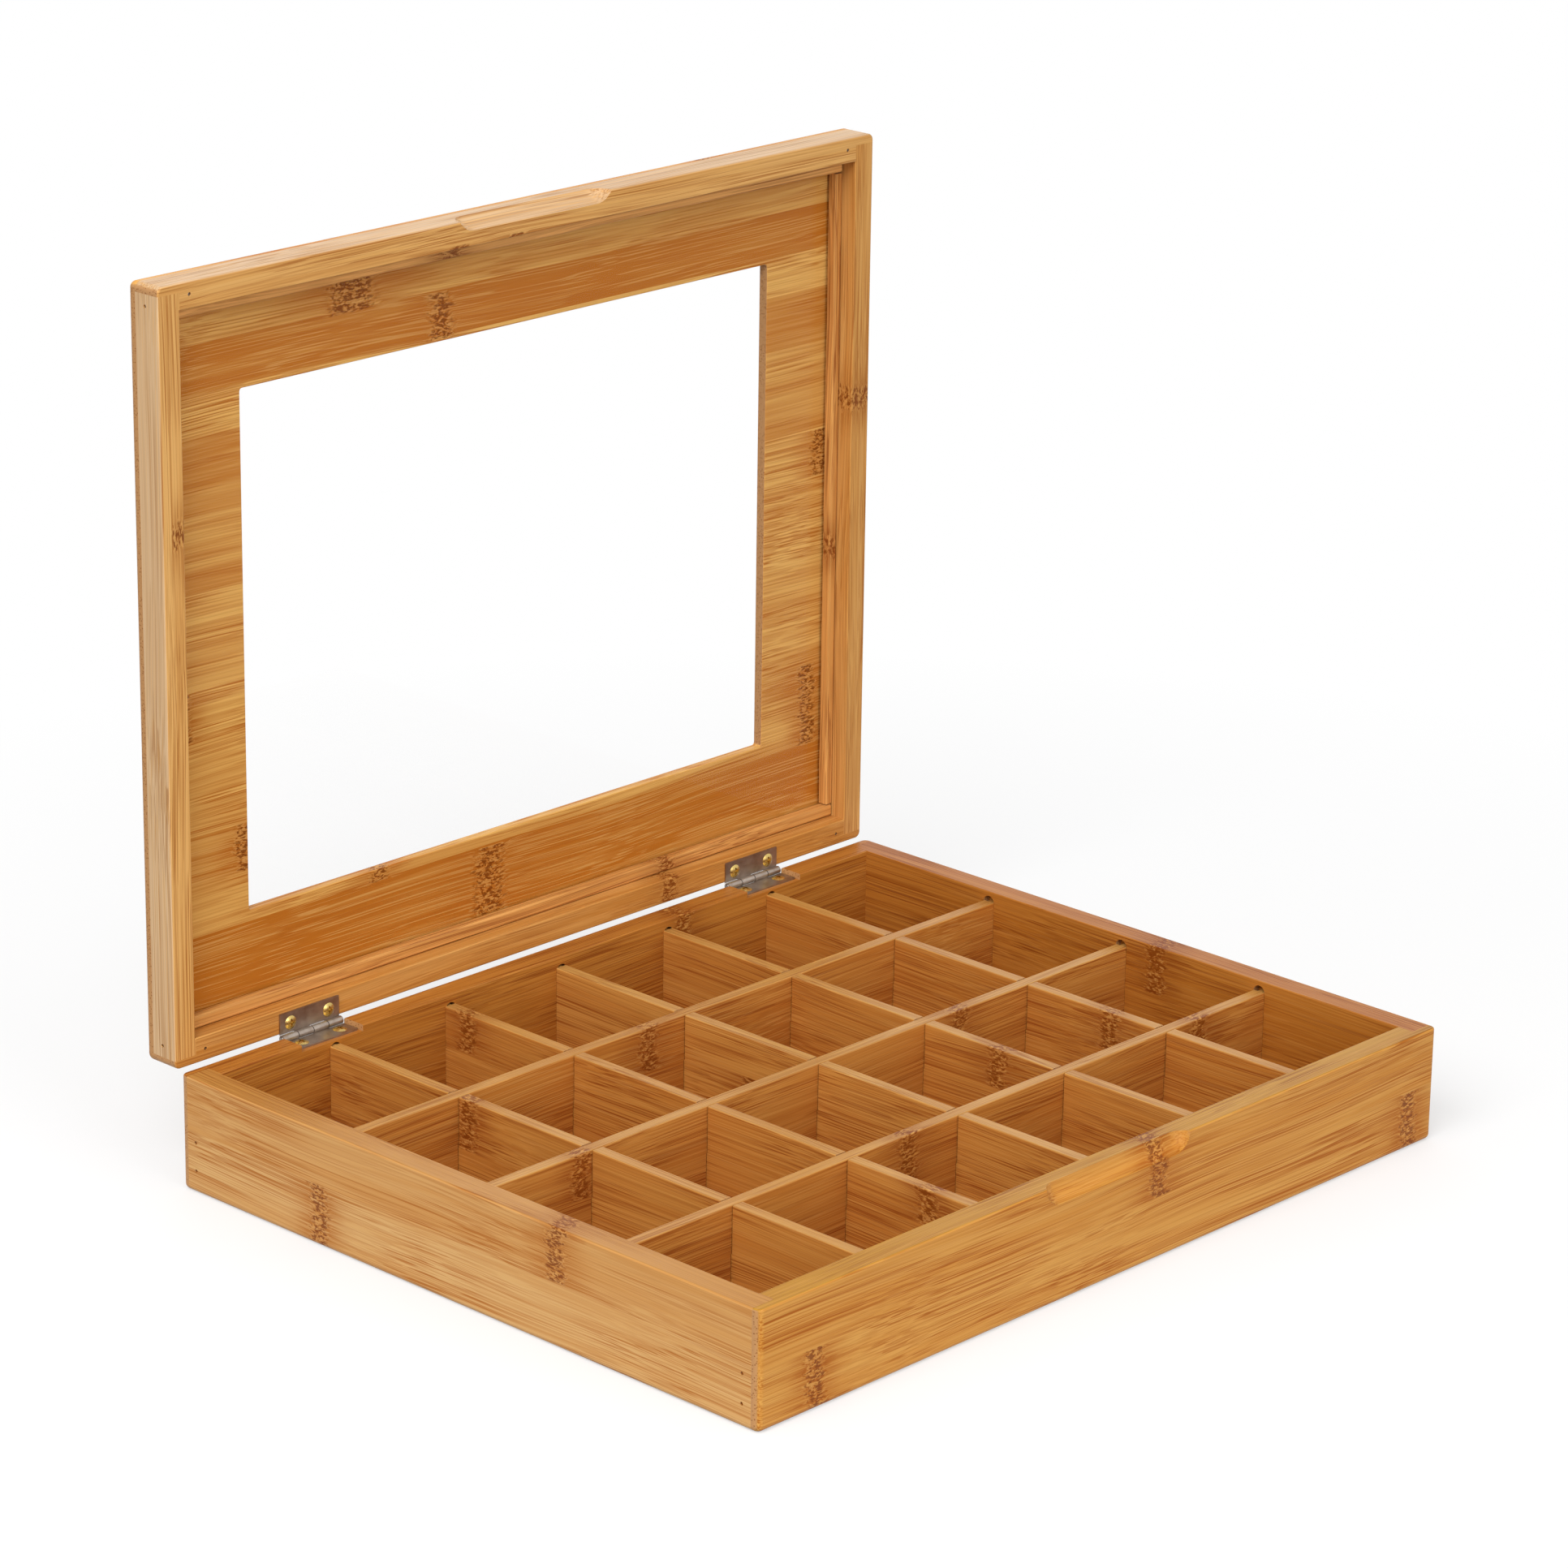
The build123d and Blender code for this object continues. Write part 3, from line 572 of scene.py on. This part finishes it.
def closed_loft(name, rings, inside_out=False):
    """A closed mesh through rings of points, with flat ends.

    rings[i, j] is point j of ring i. Each quad joins points j and j + 1, counted round the ring,
    of rings i and i + 1. The first and the last ring are filled. inside_out turns every face over.
    """
    n, m = rings.shape[:2]
    i, j = np.meshgrid(np.arange(n - 1), np.arange(m), indexing="ij")
    k = (j + 1) % m
    quads = np.stack([i * m + j, i * m + k, (i + 1) * m + k, (i + 1) * m + j], -1).reshape(-1, 4)
    ends = np.stack([np.arange(m)[::-1], (n - 1) * m + np.arange(m)])
    if inside_out:
        quads, ends = quads[:, [0, 3, 2, 1]], ends[:, ::-1]
    mesh = bpy.data.meshes.new(name)
    mesh.from_pydata(rings.reshape(-1, 3).tolist(), [], quads.tolist() + ends.tolist())
    mesh.update()
    return mesh


def sanded_bar(name, low, high, along, front, radius, waves, rng):
    """A hand-sanded square bar between two corners.

    Its section is a rectangle whose two corners towards the low side of `front` are quarter
    circles of the radius. The section is carried along the bar, and its width at each station is
    the full width * (1 - narrowing * (1 + mean of sin(2 pi count s + phase) over the waves)), for
    s from 0 to 1 along the bar and a random phase for each wave.
    """
    narrowing = 0.045
    arc_points, station_count = 6, 160
    low, high = np.array(low), np.array(high)
    run, face = AXES[along], AXES[front]
    side = 3 - run - face  # the third axis
    size = high - low

    # section as (across, depth), from one back corner round the two soft corners to the other
    rising = np.linspace(0, math.pi / 2, arc_points)
    falling = rising[::-1]
    first = np.stack([radius - radius * np.sin(falling), radius - radius * np.cos(falling)], 1)
    second = np.stack([
        size[side] - radius + radius * np.sin(rising), radius - radius * np.cos(rising)], 1)
    section = np.concatenate([[[0.0, size[face]]], first, second, [[size[side], size[face]]]])

    stations = np.linspace(0.0, 1.0, station_count)
    ripple = np.zeros_like(stations)
    for count in waves:
        ripple += np.sin(2 * math.pi * count * stations + rng.uniform(0, 2 * math.pi))
    share = 1 - narrowing * (1 + ripple / len(waves))
    middle = size[side] / 2
    points = np.zeros((len(stations), len(section), 3))
    points[:, :, run] = low[run] + stations[:, None] * size[run]
    points[:, :, side] = low[side] + middle + (section[None, :, 0] - middle) * share[:, None]
    points[:, :, face] = low[face] + section[None, :, 1]
    return closed_loft(name, points)


def clear_sheet(name, low, high, corner, edge):
    """A flat sheet that faces Y, with rounded corners and broken edges.

    Its outline is a rounded rectangle, (x, z) = corner centre + corner (cos t, sin t) with t going
    round once. Four rings of that outline make the edge: inset at the front, full, full, and inset
    at the back. The two flat faces close it.
    """
    outline_points = 48
    turns = np.linspace(0, 2 * math.pi, outline_points, endpoint=False) + math.pi / outline_points
    centre = np.array([(low[0] + high[0]) / 2, (low[2] + high[2]) / 2])
    half = np.array([(high[0] - low[0]) / 2, (high[2] - low[2]) / 2]) - corner
    round_once = np.stack([np.cos(turns), np.sin(turns)], 1)
    anchors = centre + np.sign(round_once) * half
    rings = []
    for y, inset in ((low[1], edge), (low[1] + edge, 0.0), (high[1] - edge, 0.0), (high[1], edge)):
        flat = anchors + round_once * (corner - inset)
        rings.append(np.stack([flat[:, 0], np.full(len(turns), y), flat[:, 1]], 1))
    return closed_loft(name, np.array(rings), inside_out=True)


# Studio

def seen_white(tree):
    """1 for rays from the eye, off a gloss and through the pane, and 0 for the rest."""
    path = add(tree, "ShaderNodeLightPath")
    seen = add(tree, "ShaderNodeMath", {
        0: path.outputs["Is Camera Ray"], 1: path.outputs["Is Glossy Ray"]}, operation="MAXIMUM")
    seen = add(tree, "ShaderNodeMath", {
        0: seen.outputs[0], 1: path.outputs["Is Transmission Ray"]}, operation="MAXIMUM")
    return seen.outputs[0]


def white_surroundings(sky):
    """A world that looks white and lights dull surfaces at the level of the sky."""
    world = bpy.data.worlds.new("studio")
    world.use_nodes = True
    tree = world.node_tree
    tree.nodes.clear()
    level = add(tree, "ShaderNodeMapRange", {
        "Value": seen_white(tree), "To Min": sky, "To Max": 1.0})
    back = add(tree, "ShaderNodeBackground", {"Color": WHITE, "Strength": level.outputs[0]})
    add(tree, "ShaderNodeOutputWorld", {"Surface": back.outputs[0]})
    return world


def white_paper(name):
    """Matt white paper: it takes the box's soft shadow near the box and is plain white far off.

    Half of it is a dull reflection up to `near` metres from the middle, which fades out at `far`.
    """
    near, far, glow_near = 0.25, 0.6, 0.5
    material = new_material(name)
    tree = material.node_tree
    dull = add(tree, "ShaderNodeBsdfDiffuse", {"Color": rgba((0.90, 0.90, 0.90))})
    glow = add(tree, "ShaderNodeEmission", {"Color": WHITE, "Strength": seen_white(tree)})
    place = add(tree, "ShaderNodeTexCoord")
    distance = add(tree, "ShaderNodeVectorMath", {0: place.outputs["Object"]}, operation="LENGTH")
    share = add(tree, "ShaderNodeMapRange", {
        "Value": distance.outputs["Value"], "From Min": near, "From Max": far,
        "To Min": glow_near, "To Max": 1.0})
    lit = add(tree, "ShaderNodeMixShader", {
        0: share.outputs[0], 1: dull.outputs[0], 2: glow.outputs[0]})
    add(tree, "ShaderNodeOutputMaterial", {"Surface": lit.outputs[0]})
    return material


class CAPSULEBOX_PG_tones(bpy.types.PropertyGroup):
    """The colours of one kind of bamboo surface"""
    pale: FloatVectorProperty(
        name="Pale tissue", description="Lightest strip", subtype="COLOR", size=3,
        min=0, max=1, default=linear("CE9A52"))
    warm: FloatVectorProperty(
        name="Warm tissue", description="Reddest strip", subtype="COLOR", size=3,
        min=0, max=1, default=linear("BF8439"))
    fibre: FloatVectorProperty(
        name="Fibre", description="Dark streaks", subtype="COLOR", size=3,
        min=0, max=1, default=linear("98581F"))


class CAPSULEBOX_PG_bamboo(bpy.types.PropertyGroup):
    """Everything that the bamboo pieces share"""
    walls: PointerProperty(
        type=CAPSULEBOX_PG_tones, name="Walls", description="Outside of front, rear, lid and floor")
    # sides: tones with painted sheen, paler and greyer, for faces that look along X
    sides: PointerProperty(
        type=CAPSULEBOX_PG_tones, name="Sides", description="Outside of the side walls")
    # insides: tones with painted shade, darker, for the inner faces
    insides: PointerProperty(
        type=CAPSULEBOX_PG_tones, name="Insides", description="Inside of rear, right and floor")
    # rims: tones with painted shade, darker and with less blue so that the top's sheen reads golden
    rims: PointerProperty(
        type=CAPSULEBOX_PG_tones, name="Rims", description="Top and inside of the front wall")
    dividers: PointerProperty(
        type=CAPSULEBOX_PG_tones, name="Dividers", description="Faces of the dividers")
    # tops: tones with painted sheen, paler and greyer, for the tops
    tops: PointerProperty(
        type=CAPSULEBOX_PG_tones, name="Tops", description="Tops of the dividers and the left wall")
    # edges: tones with painted sheen, paler and greyer, for the rails' outsides
    edges: PointerProperty(
        type=CAPSULEBOX_PG_tones, name="Edges", description="Outsides of the lid's rails")
    rails: PointerProperty(
        type=CAPSULEBOX_PG_tones, name="Rails", description="Faces of the lid's rails")
    panel: PointerProperty(
        type=CAPSULEBOX_PG_tones, name="Panel", description="Inside of the lid's panel")
    # beads: tones with a raised pale, painted light against the rails' shadows on the beads
    beads: PointerProperty(
        type=CAPSULEBOX_PG_tones, name="Beads", description="Beads that hold the pane")
    node: FloatVectorProperty(
        name="Node", description="Dashes at the bamboo's nodes", subtype="COLOR", size=3,
        min=0, max=1, default=linear("7A3A08"))
    hairline: FloatVectorProperty(
        name="Hairline", description="Pale hairlines and flecks", subtype="COLOR", size=3,
        min=0, max=1, default=linear("DDA65C"))
    end_pale: FloatVectorProperty(
        name="End grain", description="Tissue on cut ends", subtype="COLOR", size=3,
        min=0, max=1, default=linear("BC8B5A"))
    end_fibre: FloatVectorProperty(
        name="End fibre", description="Fibres on cut ends", subtype="COLOR", size=3,
        min=0, max=1, default=linear("8E5A30"))
    fibre_width: FloatProperty(
        name="Fibre width", description="Width of the finest streaks", unit="LENGTH",
        min=0.0001, max=0.005, default=0.0004)
    fibre_length: FloatProperty(
        name="Fibre length", description="Length of the finest streaks", unit="LENGTH",
        min=0.002, max=0.2, default=0.040)
    roughness: FloatProperty(
        name="Lacquer roughness", description="0.2 is glossy and 0.6 is dull",
        min=0.05, max=1, default=0.40)


class CAPSULEBOX_PG_metal(bpy.types.PropertyGroup):
    """The hinges and the fasteners"""
    leaf: FloatVectorProperty(
        name="Leaf", description="Plated steel of the leaves", subtype="COLOR", size=3,
        min=0, max=1, default=linear("B5A89C"))
    wire: FloatVectorProperty(
        name="Wire", description="Steel of the pins and brads", subtype="COLOR", size=3,
        min=0, max=1, default=linear("8E8A86"))
    filler: FloatVectorProperty(
        name="Filler", description="Lacquer over the brads of the box", subtype="COLOR", size=3,
        min=0, max=1, default=linear("A8682E"))
    brass: FloatVectorProperty(
        name="Brass", description="Brass of the screws", subtype="COLOR", size=3,
        min=0, max=1, default=linear("D9BC72"))
    roughness: FloatProperty(
        name="Roughness", description="Roughness of the leaves' plating",
        min=0.05, max=1, default=0.34)


class CAPSULEBOX_PG_studio(bpy.types.PropertyGroup):
    """Camera and lamps"""
    place: FloatVectorProperty(
        name="Camera place", description="Where the camera stands", unit="LENGTH", size=3,
        default=(-1.347, -1.2571, 0.7774))
    turn: FloatVectorProperty(
        name="Camera turn", description="Its rotation", subtype="EULER", size=3,
        default=tuple(math.radians(angle) for angle in (70.975, -0.782, -46.292)))
    lens: FloatProperty(
        name="Lens", description="Focal length in mm on a 36 mm sensor",
        min=10, max=400, default=128.75)
    sky: FloatProperty(
        name="Sky", description="Strength of the surrounding light on dull surfaces",
        min=0, max=4, default=0.60)
    key: FloatProperty(
        name="Key", description="Power of the large lamp above on the left", unit="POWER",
        min=0, max=200, default=36.0)
    fill: FloatProperty(
        name="Fill", description="Power of the lamp in front", unit="POWER",
        min=0, max=200, default=16.0)
    rim: FloatProperty(
        name="Rim", description="Power of the lamp behind, which gives tops their sheen",
        unit="POWER", min=0, max=200, default=4.0)


class CAPSULEBOX_OT_box(bpy.types.Operator):
    """Lacquered bamboo for the walls and the floor"""
    bl_idname = "capsulebox.box"
    bl_label = "Walls and floor"

    def execute(self, context):
        dress_boards(("front_wall", "rear_wall", "left_wall", "right_wall", "bottom_panel"), 1)
        return {"FINISHED"}


class CAPSULEBOX_OT_dividers(bpy.types.Operator):
    """Lacquered bamboo for the crossed dividers"""
    bl_idname = "capsulebox.dividers"
    bl_label = "Dividers"

    def execute(self, context):
        dress_boards(sorted(name for name in BOARDS if "divider" in name), 21)
        return {"FINISHED"}


class CAPSULEBOX_OT_lid(bpy.types.Operator):
    """Lacquered bamboo for the lid's rails and panel"""
    bl_idname = "capsulebox.lid"
    bl_label = "Lid"

    def execute(self, context):
        dress_boards(
            ("lid_front_rail", "lid_rear_rail", "lid_left_rail", "lid_right_rail", "lid_panel"), 41)
        return {"FINISHED"}


class CAPSULEBOX_OT_beads(bpy.types.Operator):
    """Slim hand-sanded beads that hold the pane, in place of the straight ones"""
    bl_idname = "capsulebox.beads"
    bl_label = "Pane beads"

    def execute(self, context):
        rng = np.random.default_rng(7)
        soft_edge = 0.0009
        waves = (2, 5, 9)  # how many times each slow wave of the sanding comes along a bead
        for seed, side in enumerate(("front", "rear", "left", "right"), start=61):
            node = f"pane_bead_{side}"
            low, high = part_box(node)
            along = "X" if side in ("front", "rear") else "Z"
            mesh = sanded_bar(f"sanded_bead_{side}", low, high, along, "Y", soft_edge, waves, rng)
            mesh.materials.append(bamboo(f"bamboo_bead_{side}", BOARDS[node], seed))
            piece = bpy.data.objects.new(f"sanded_bead_{side}", mesh)
            context.scene.collection.objects.link(piece)
            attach(piece, "lid")
            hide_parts(node)
        return {"FINISHED"}


class CAPSULEBOX_OT_pane(bpy.types.Operator):
    """Clear acrylic sheet for the window, with polished edges"""
    bl_idname = "capsulebox.pane"
    bl_label = "Pane"

    def execute(self, context):
        play = 0.0001  # the sheet stands this far off the panel and the beads: no faces coincide
        corner_radius, broken_edge = 0.0010, 0.0002
        low, high = (np.array(corner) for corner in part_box("window_pane"))
        low[1] += play
        high[1] -= play
        mesh = clear_sheet("clear_sheet", low, high, corner_radius, broken_edge)
        mesh.materials.append(clear_acrylic("cast_acrylic"))
        piece = bpy.data.objects.new("clear_sheet", mesh)
        context.scene.collection.objects.link(piece)
        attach(piece, "lid")
        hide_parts("window_pane")
        return {"FINISHED"}


class CAPSULEBOX_OT_metal(bpy.types.Operator):
    """Plated steel, plain steel and brass for the hinges, pins, brads and screws"""
    bl_idname = "capsulebox.metal"
    bl_label = "Hinges and fasteners"

    def execute(self, context):
        metal = context.scene.capsule_box_metal
        wire_roughness, filler_roughness, brass_roughness = 0.28, 0.5, 0.26
        leaf = plated_steel("plated_steel", metal.leaf, metal.roughness, "X")
        # drawn wire is a paler and shinier grey, and filled brads are dull brown dots in the wood
        wire = plated_steel("drawn_wire", metal.wire, wire_roughness, "X")
        filled = plated_steel("filled_brads", metal.filler, filler_roughness, "X")
        brass = bright_brass("bright_brass", metal.brass, brass_roughness)
        dress([name for name in nodes if name.startswith("hinge_") and "leaf" in name], leaf)
        dress([name for name in nodes if "brads" in name or "hinge_pin" in name], wire)
        dress(["base_corner_brads"], filled)
        dress(["base_hinge_screws", "lid_hinge_screws"], brass)
        return {"FINISHED"}


class CAPSULEBOX_OT_studio(bpy.types.Operator):
    """White floor and surroundings, soft lamps and the camera"""
    bl_idname = "capsulebox.studio"
    bl_label = "Studio"

    def execute(self, context):
        scene = context.scene
        studio = scene.capsule_box_studio
        scene.view_settings.view_transform = "Standard"
        scene.world = white_surroundings(studio.sky)

        camera_data = bpy.data.cameras.new("camera")
        camera_data.lens = studio.lens
        camera_data.sensor_width = 36.0
        camera_data.clip_start, camera_data.clip_end = 0.05, 20.0
        camera = bpy.data.objects.new("camera", camera_data)
        camera.location = studio.place
        camera.rotation_euler = studio.turn
        scene.collection.objects.link(camera)
        scene.camera = camera

        aim = Vector((0.0, 0.0, 0.1))  # the middle of the open box
        for name, place, size, power in (
                ("key", (-1.5, -0.5, 1.6), 1.4, studio.key),
                ("fill", (-0.3, -2.0, 0.7), 1.2, studio.fill),
                ("rim", (1.6, 1.5, 1.1), 1.6, studio.rim)):
            lamp_data = bpy.data.lights.new(name, "AREA")
            lamp_data.size = size
            lamp_data.energy = power
            lamp = bpy.data.objects.new(name, lamp_data)
            lamp.location = place
            way = aim - Vector(place)
            lamp.rotation_euler = way.to_track_quat("-Z", "Y").to_euler()
            scene.collection.objects.link(lamp)

        floor_half = 6.0
        drop = -0.0002  # just under the box, so that the two faces don't coincide
        corners = [(x * floor_half, y * floor_half, drop)
                   for x, y in ((-1, -1), (1, -1), (1, 1), (-1, 1))]
        mesh = bpy.data.meshes.new("floor")
        mesh.from_pydata(corners, [], [(0, 1, 2, 3)])
        mesh.materials.append(white_paper("white_paper"))
        floor = bpy.data.objects.new("floor", mesh)
        scene.collection.objects.link(floor)
        return {"FINISHED"}


class CAPSULEBOX_PT_panel(bpy.types.Panel):
    """The capsule box's steps and settings"""
    bl_label = "Capsule box"
    bl_idname = "CAPSULEBOX_PT_panel"
    bl_space_type = "VIEW_3D"
    bl_region_type = "UI"
    bl_category = "Capsule box"

    def draw(self, context):
        for step in OPERATORS:
            self.layout.operator(step.bl_idname)
        for group in ("bamboo", "metal", "studio"):
            settings = getattr(context.scene, f"capsule_box_{group}")
            column = self.layout.column()
            for name in settings.__annotations__:
                column.prop(settings, name)


GROUPS = (CAPSULEBOX_PG_tones, CAPSULEBOX_PG_bamboo, CAPSULEBOX_PG_metal, CAPSULEBOX_PG_studio)
OPERATORS = (CAPSULEBOX_OT_box, CAPSULEBOX_OT_dividers, CAPSULEBOX_OT_lid, CAPSULEBOX_OT_beads,
             CAPSULEBOX_OT_pane, CAPSULEBOX_OT_metal, CAPSULEBOX_OT_studio)

# tones of each kind of surface: pale, warm and fibre
TONES = (
    ("walls", "D49D4F", "C5812F", "A4580F"),
    # sides: the walls' wood made paler and greyer as painted sheen on faces that look along X
    ("sides", "D8AC70", "C9904E", "AE6A2A"),
    # insides: the walls' wood made darker as painted shade on the inner faces; the tops and ends of
    # those boards share it
    ("insides", "BC7C34", "AC6822", "884612"),
    # rims: a darker copy, painted shade, with its blue taken down so that the lamps' sheen on the
    # front wall's top reads golden
    ("rims", "BF8E2C", "AF771C", "8A500E"),
    ("dividers", "C88B42", "B6702C", "924C18"),
    # tops: the dividers' wood made paler and greyer as painted sheen on the tops
    ("tops", "C59552", "B8823F", "9A602A"),
    # edges: the rails' wood made paler and greyer as painted sheen on the rails' outsides
    ("edges", "D9B68C", "CBA276", "AE7E4E"),
    ("rails", "E3B06A", "C4843C", "A8682C"),
    ("panel", "EAB664", "BF7224", "B86A22"),
    # beads: the pale tone is raised as painted light, against the shadows that the lid's rails cast
    # on the beads
    ("beads", "F0B268", "C38440", "9A5A28"),
)


def register():
    """Registers the settings, the steps and the panel."""
    for group in (*GROUPS, *OPERATORS, CAPSULEBOX_PT_panel):
        bpy.utils.register_class(group)
    bpy.types.Scene.capsule_box_bamboo = PointerProperty(type=CAPSULEBOX_PG_bamboo)
    bpy.types.Scene.capsule_box_metal = PointerProperty(type=CAPSULEBOX_PG_metal)
    bpy.types.Scene.capsule_box_studio = PointerProperty(type=CAPSULEBOX_PG_studio)


def unregister():
    """Takes away what register added, in the opposite order."""
    for name in ("capsule_box_studio", "capsule_box_metal", "capsule_box_bamboo"):
        delattr(bpy.types.Scene, name)
    for group in reversed((*GROUPS, *OPERATORS, CAPSULEBOX_PT_panel)):
        bpy.utils.unregister_class(group)


def main():
    """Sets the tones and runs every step."""
    register()
    for surface, pale, warm, fibre in TONES:
        tones = getattr(bpy.context.scene.capsule_box_bamboo, surface)
        tones.pale, tones.warm, tones.fibre = linear(pale), linear(warm), linear(fibre)
    bpy.ops.capsulebox.box()
    bpy.ops.capsulebox.dividers()
    bpy.ops.capsulebox.lid()
    bpy.ops.capsulebox.beads()
    bpy.ops.capsulebox.pane()
    bpy.ops.capsulebox.metal()
    bpy.ops.capsulebox.studio()


if __name__ == "__main__":
    main()
